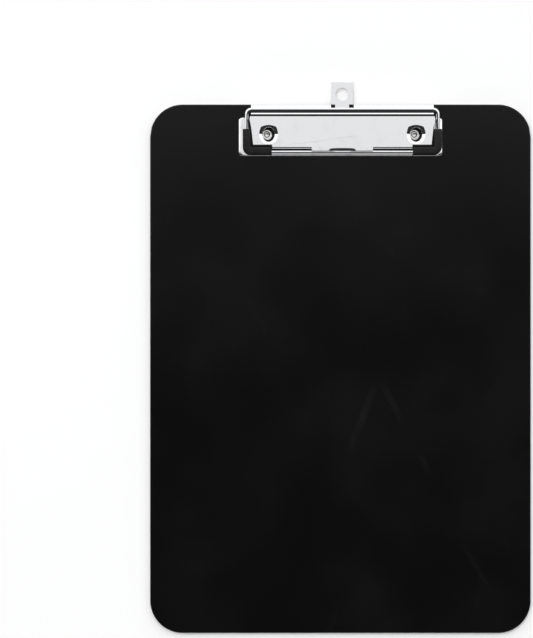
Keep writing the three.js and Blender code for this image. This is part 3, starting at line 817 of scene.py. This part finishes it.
class Value:
    """One output of a node, on which sums can be written out."""

    def __init__(self, tree, socket):
        self.tree, self.socket = tree, socket

    def maths(self, operation, *items):
        """A Math node over the items in their order."""
        node = self.tree.nodes.new("ShaderNodeMath")
        node.operation = operation
        for plug, item in zip(node.inputs, items):
            feed(self.tree, plug, item)
        return Value(self.tree, node.outputs[0])

    def __add__(self, other):
        return self.maths("ADD", self, other)

    def __radd__(self, other):
        return self.maths("ADD", other, self)

    def __sub__(self, other):
        return self.maths("SUBTRACT", self, other)

    def __rsub__(self, other):
        return self.maths("SUBTRACT", other, self)

    def __mul__(self, other):
        return self.maths("MULTIPLY", self, other)

    def __rmul__(self, other):
        return self.maths("MULTIPLY", other, self)

    def __truediv__(self, other):
        return self.maths("DIVIDE", self, other)

    def higher(self, other):
        """The larger of the two."""
        return self.maths("MAXIMUM", self, other)

    def lower(self, other):
        """The smaller of the two."""
        return self.maths("MINIMUM", self, other)

    def rise(self, low, high):
        """0 below low, 1 above high, and a smooth step between."""
        node = self.tree.nodes.new("ShaderNodeMapRange")
        node.interpolation_type = "SMOOTHSTEP"
        for plug, item in zip(node.inputs, (self, low, high, 0.0, 1.0)):
            feed(self.tree, plug, item)
        return Value(self.tree, node.outputs[0])


class Graph:
    """The nodes of one material or world."""

    def __init__(self, owner):
        owner.use_nodes = True
        self.tree = owner.node_tree
        self.tree.nodes.clear()

    def node(self, kind, settings=None, values=None, output=0):
        """A node of any kind: its settings first, then its sockets by name or number."""
        node = self.tree.nodes.new(kind)
        for name, setting in (settings or {}).items():
            setattr(node, name, setting)
        for name, item in (values or {}).items():
            feed(self.tree, node.inputs[name], item)
        return Value(self.tree, node.outputs[output]) if node.outputs else None

    def mix(self, share, first, second):
        """A colour between two colours."""
        values = {0: share, 6: first, 7: second}
        return self.node("ShaderNodeMix", {"data_type": "RGBA"}, values, output=2)

    def stretched(self, place, scale):
        """The place with each axis scaled."""
        return self.node("ShaderNodeMapping", None, {"Vector": place, "Scale": scale})

    def noise(self, place, scale, detail=3.0, roughness=0.5):
        """Cloudy noise from 0 to 1, with scale in cells per metre."""
        values = {"Vector": place, "Scale": scale, "Detail": detail, "Roughness": roughness}
        return self.node("ShaderNodeTexNoise", None, values)

    def cells(self, place, scale, feature="F1"):
        """Distance to the nearest of scattered points, or to the cells' edges."""
        values = {"Vector": place, "Scale": scale}
        return self.node("ShaderNodeTexVoronoi", {"feature": feature}, values)

    def bump(self, height, strength, distance):
        """A bumped normal; distance is the depth of the relief in metres."""
        values = {"Height": height, "Strength": strength, "Distance": distance}
        return self.node("ShaderNodeBump", None, values)


class Finish(Graph):
    """A surface finish in the making, worked out in the object's own coordinates."""

    def __init__(self, name):
        self.material = bpy.data.materials.new(name)
        super().__init__(self.material)
        self.place = self.node("ShaderNodeTexCoord", output="Object")

    def done(self, **values):
        """The finished material; values go to the shader's sockets, with _ for a space."""
        sockets = {name.replace("_", " "): item for name, item in values.items()}
        shader = self.node("ShaderNodeBsdfPrincipled", None, sockets)
        self.node("ShaderNodeOutputMaterial", None, {"Surface": shader})
        return self.material

    def hairlines(self, count, stretch, turn):
        """Fine straight scratches along one direction, 1 on a scratch and 0 off it."""
        turned_place = self.node(
            "ShaderNodeMapping",
            {"vector_type": "TEXTURE"},
            {"Vector": self.place, "Rotation": (0, 0, turn)},
        )
        cells = self.noise(self.stretched(turned_place, stretch), count, 2.0)
        return cells.rise(0.66, 0.74)


# ---------------------------------------------------------------- finishes


def board_plastic():
    """Black satin plastic: fine grain, faint clouding, a few hairline scuffs."""
    finish = Finish("board_plastic")
    grain = finish.noise(finish.place, 2600.0, 2.0)
    cloud = finish.noise(finish.place, 14.0, 4.0)
    scuffs = finish.hairlines(90.0, (1.0, 0.035, 1.0), 0.5)
    scuffs = scuffs.higher(finish.hairlines(70.0, (1.0, 0.03, 1.0), -0.35))
    scuffs = scuffs * finish.noise(finish.place, 22.0).rise(0.5, 0.7)
    tone = finish.mix(cloud.rise(0.35, 0.7), (0.0028, 0.0028, 0.0029, 1), (0.0048, 0.0048, 0.0051, 1))
    tone = finish.mix(scuffs * 0.25, tone, (0.01, 0.01, 0.011, 1))
    relief = grain * 0.6 + scuffs * -0.4
    return finish.done(
        Base_Color=tone,
        Roughness=0.12 + cloud * 0.06 + scuffs * 0.1,
        Specular_IOR_Level=0.16,
        Normal=finish.bump(relief, 0.1, 0.00002),
    )


def chrome(name, tint, roughness, waviness):
    """Bright plating over pressed steel: faint waves, polishing lines and finger marks."""
    finish = Finish(name)
    wave = finish.noise(finish.place, 55.0, 1.0)
    marks = finish.noise(finish.place, 120.0, 5.0, 0.6).rise(0.5, 0.75)
    lines = finish.hairlines(420.0, (0.03, 1.0, 1.0), 0.12)
    specks = 1.0 - finish.cells(finish.place, 900.0).rise(0.04, 0.1)
    dull = tuple(channel * 0.88 for channel in tint) + (1,)
    tone = finish.mix(marks * 0.2, tint + (1,), dull)
    return finish.done(
        Base_Color=finish.mix(specks * 0.2, tone, (0.55, 0.55, 0.56, 1)),
        Metallic=1.0,
        Roughness=roughness + marks * 0.02 + lines * 0.04,
        Normal=finish.bump(wave * waviness + lines * 0.01, 0.3, 0.0004),
    )


def tray_chrome_and_painted_shade():
    """Chrome on the tray's edges, and painted shade inside, where the lever covers it: a dark metal
    tone and a rougher finish there.
    """
    finish = Finish("tray_chrome_and_painted_shade")
    split = finish.node("ShaderNodeSeparateXYZ", None, {0: finish.place})
    x, y, _ = (Value(finish.tree, plug) for plug in split.socket.node.outputs)
    cloud = finish.noise(finish.place, 130.0, 4.0)
    ragged = (cloud - 0.5) * 0.0006
    front, back = (AXIS_Y - 24.9) * MM, (AXIS_Y - 2.0) * MM
    sides = 1.0 - (x.maths("ABSOLUTE", x) + ragged).rise(0.0560, 0.0566)
    forward = (y + ragged).rise(front - 0.0003, front + 0.0001)
    # Painted shade: within this mask, under the lever, the tray's top is drawn in a dark tone that
    # stands for the shade there.
    inside = sides * forward * (1.0 - y.rise(back, back + 0.001))
    tone = finish.mix(inside, (0.90, 0.905, 0.915, 1), (0.035, 0.035, 0.037, 1))
    return finish.done(
        Base_Color=finish.mix(cloud.rise(0.45, 0.8) * 0.25, tone, (0.05, 0.05, 0.05, 1)),
        Metallic=1.0,
        Roughness=0.05 + inside * 0.3 + cloud * 0.03,
        Normal=finish.bump(cloud, 0.1, 0.0002),
    )


def grip_rubber():
    """Black moulded rubber: matt, with a fine pitted grain and dusty high spots."""
    finish = Finish("grip_rubber")
    grain = finish.noise(finish.place, 3200.0, 3.0, 0.7)
    cloud = finish.noise(finish.place, 160.0, 3.0)
    pits = finish.cells(finish.place, 2300.0)
    tone = finish.mix(cloud.rise(0.35, 0.75), (0.0025, 0.0025, 0.0026, 1), (0.007, 0.007, 0.0072, 1))
    return finish.done(
        Base_Color=tone,
        Roughness=0.4 + grain * 0.2,
        Specular_IOR_Level=0.3,
        Normal=finish.bump(grain * 0.5 + pits * 0.5, 0.35, 0.00006),
    )


def spring_steel():
    """Drawn spring wire: oil-dark steel with die lines along it."""
    finish = Finish("spring_steel")
    lines = finish.noise(finish.stretched(finish.place, (6.0, 1.0, 1.0)), 900.0, 2.0)
    cloud = finish.noise(finish.place, 240.0, 3.0)
    tone = finish.mix(cloud.rise(0.3, 0.7), (0.30, 0.29, 0.28, 1), (0.46, 0.45, 0.43, 1))
    return finish.done(
        Base_Color=tone,
        Metallic=1.0,
        Roughness=0.24 + lines * 0.16,
        Normal=finish.bump(lines, 0.2, 0.00005),
    )


def nickel_steel():
    """Nickel-plated rivet steel: faint clouding, small dings, lightly dulled."""
    finish = Finish("nickel_steel")
    cloud = finish.noise(finish.place, 420.0, 4.0)
    dings = finish.cells(finish.place, 760.0).rise(0.05, 0.22)
    tone = finish.mix(cloud.rise(0.35, 0.7), (0.84, 0.835, 0.825, 1), (0.91, 0.905, 0.90, 1))
    return finish.done(
        Base_Color=tone,
        Metallic=1.0,
        Roughness=0.07 + cloud * 0.08,
        Normal=finish.bump(dings + cloud * 0.3, 0.12, 0.00005),
    )


FINISHES = {
    "board_plastic": board_plastic(),
    "chrome_plate": chrome("chrome_plate", (0.90, 0.905, 0.915), 0.045, 0.12),
    "chrome_wire": chrome("chrome_wire", (0.89, 0.895, 0.905), 0.06, 0.05),
    "tray_chrome_and_painted_shade": tray_chrome_and_painted_shade(),
    "grip_rubber": grip_rubber(),
    "spring_steel": spring_steel(),
    "nickel_steel": nickel_steel(),
}

# ---------------------------------------------------------------- the assembly


def part(name, surface, slot, node, body, thickness=0.0, bevel=0.0, angle=50.0, finish=None):
    """A piece of the object: meshed, thickened inwards, its edges softened, finished and placed."""
    mesh = surface.mesh(name)
    mesh.materials.append(FINISHES[finish or slot])
    mesh.polygons.foreach_set("use_smooth", np.ones(len(mesh.polygons), bool))
    made = bpy.data.objects.new(name, mesh)
    bpy.context.scene.collection.objects.link(made)
    if thickness:
        shell = made.modifiers.new("sheet", "SOLIDIFY")
        shell.thickness, shell.offset = thickness * MM, -1
        shell.use_even_offset = True
    if bevel:
        soft = made.modifiers.new("edges", "BEVEL")
        soft.width, soft.segments = bevel * MM, 3
        soft.limit_method, soft.angle_limit = "ANGLE", np.radians(angle)
        soft.harden_normals = True
    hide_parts(*([node] if isinstance(node, str) else node))
    if body:
        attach(made, body)
    return made


part("board_slab", board_surface(), "board_plastic", "board", "base", bevel=0.12, angle=60)
part(
    "base_tray",
    tray_surface().moved(CLIP_PLACE),
    "chrome_plate",
    "base_plate",
    "base",
    thickness=BASE_SHEET,
    bevel=0.06,
    finish="tray_chrome_and_painted_shade",
)
part(
    "hinge_knuckles",
    hinge_surface().moved(CLIP_PLACE),
    "chrome_plate",
    "base_plate",
    "base",
    bevel=0.12,
)
part(
    "lever_sheet",
    lever_surface().moved(JAW_PLACE),
    "chrome_plate",
    "lever_plate",
    "jaw",
    thickness=SHEET,
    bevel=0.14,
)
part("wire_eyes", eye_surface().moved(JAW_PLACE), "chrome_plate", "lever_plate", "jaw", bevel=0.1)
part("bail_wire", bail_surface().moved(JAW_PLACE), "chrome_wire", "wire_bail", "jaw")
part(
    "hanging_plate",
    tab_surface().moved(TAB_PLACE),
    "chrome_plate",
    "hanging_tab",
    "hanger",
    thickness=0.6,
    bevel=0.25,
)

for side_name, across in (("left", -1), ("right", 1)):
    grip, spring = grip_surface(), spring_surface()
    if across < 0:
        grip, spring = grip.mirrored(), spring.mirrored()
    part(
        f"rubber_{side_name}",
        grip.moved(JAW_PLACE),
        "grip_rubber",
        f"corner_grip_{side_name}",
        "jaw",
    )
    coil = part(
        f"coil_{side_name}",
        spring.moved(CLIP_PLACE),
        "spring_steel",
        f"torsion_spring_{side_name}",
        None,
    )
    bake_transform(coil)
    fixing = np.array([across * RIVET_X, AXIS_Y + RIVET_ALONG, 0])
    part(
        f"tubular_rivet_{side_name}",
        rivet_surface().moved(fixing),
        "nickel_steel",
        f"rivet_{side_name}",
        "base",
    )
    part(
        f"washer_{side_name}",
        washer_surface().moved(fixing),
        "nickel_steel",
        f"rivet_washer_{side_name}",
        "base",
    )

# ---------------------------------------------------------------- floor, light and camera


def studio_floor():
    """A pale matt floor, just under the board."""
    half, low = 1.6, -0.0003
    mesh = bpy.data.meshes.new("floor")
    corners = [(-half, -half, low), (half, -half, low), (half, half, low), (-half, half, low)]
    mesh.from_pydata(corners, [], [(0, 1, 2, 3)])
    finish = Finish("floor_paper")
    cloud = finish.noise(finish.place, 3.0, 4.0)
    fibre = finish.noise(finish.place, 700.0, 3.0)
    tone = finish.mix(cloud, (0.80, 0.80, 0.80, 1), (0.83, 0.83, 0.83, 1))
    mesh.materials.append(
        finish.done(
            Base_Color=tone,
            Roughness=0.85 + fibre * 0.1,
            Specular_IOR_Level=0.1,
            Normal=finish.bump(fibre, 0.1, 0.0001),
        )
    )
    made = bpy.data.objects.new("floor", mesh)
    bpy.context.scene.collection.objects.link(made)


def soft_light(name, place, size, power):
    """A square soft light that faces the board, unseen in reflections."""
    light = bpy.data.lights.new(name, "AREA")
    light.size, light.energy = size, power
    made = bpy.data.objects.new(name, light)
    made.location = place
    aim = -np.array(place) / np.linalg.norm(place)
    made.rotation_mode = "QUATERNION"
    made.rotation_quaternion = Vector(aim).to_track_quat("-Z", "Y")
    made.visible_glossy = False
    made.visible_camera = False
    bpy.context.scene.collection.objects.link(made)


def studio_world():
    """A soft bright tent with one dark card, which gives the chrome something to mirror.

    With a direction's slope towards = y / z, the card reaches from just behind overhead, where
    towards is 0.05, down to low on the reader's side, where it is -3. The tent is 1.2 bright at its
    sides and 0.87 overhead.
    """
    world = bpy.data.worlds.new("tent")
    bpy.context.scene.world = world
    graph = Graph(world)
    direction = graph.node("ShaderNodeTexCoord", output="Generated")
    split = graph.node("ShaderNodeSeparateXYZ", None, {0: direction})
    _, y, z = (Value(graph.tree, plug) for plug in split.socket.node.outputs)
    towards = y / z.higher(0.02)
    side_level, dimmer_overhead, card_level = 1.2, 0.33, 0.03
    card = (1.0 - towards.rise(0.04, 0.06)) * towards.rise(-3.4, -2.6)
    tent = side_level - z.rise(0.90, 0.985) * dimmer_overhead
    level = tent - (tent - card_level) * card
    sky = graph.node("ShaderNodeCombineColor", None, {0: level, 1: level, 2: level * 1.005})
    light = graph.node("ShaderNodeBackground", None, {"Color": sky, "Strength": 1.0})
    graph.node("ShaderNodeOutputWorld", None, {"Surface": light})


def straight_down_camera():
    """A long lens straight down over the clipboard, placed so that it lies low and to the right."""
    distance, seen_height = 1.6, 0.3832
    place = np.array([-0.0444, 0.0299, THICK * MM + distance])
    data = bpy.data.cameras.new("camera")
    data.sensor_width = 36
    data.lens = data.sensor_width * distance / seen_height
    data.clip_start, data.clip_end = 0.1, 10
    made = bpy.data.objects.new("camera", data)
    made.location = place
    bpy.context.scene.collection.objects.link(made)
    bpy.context.scene.camera = made


studio_floor()
soft_light("key", (-0.3, 0.35, 2.4), 1.5, 42.0)
studio_world()
straight_down_camera()
bpy.context.scene.view_settings.view_transform = "Standard"
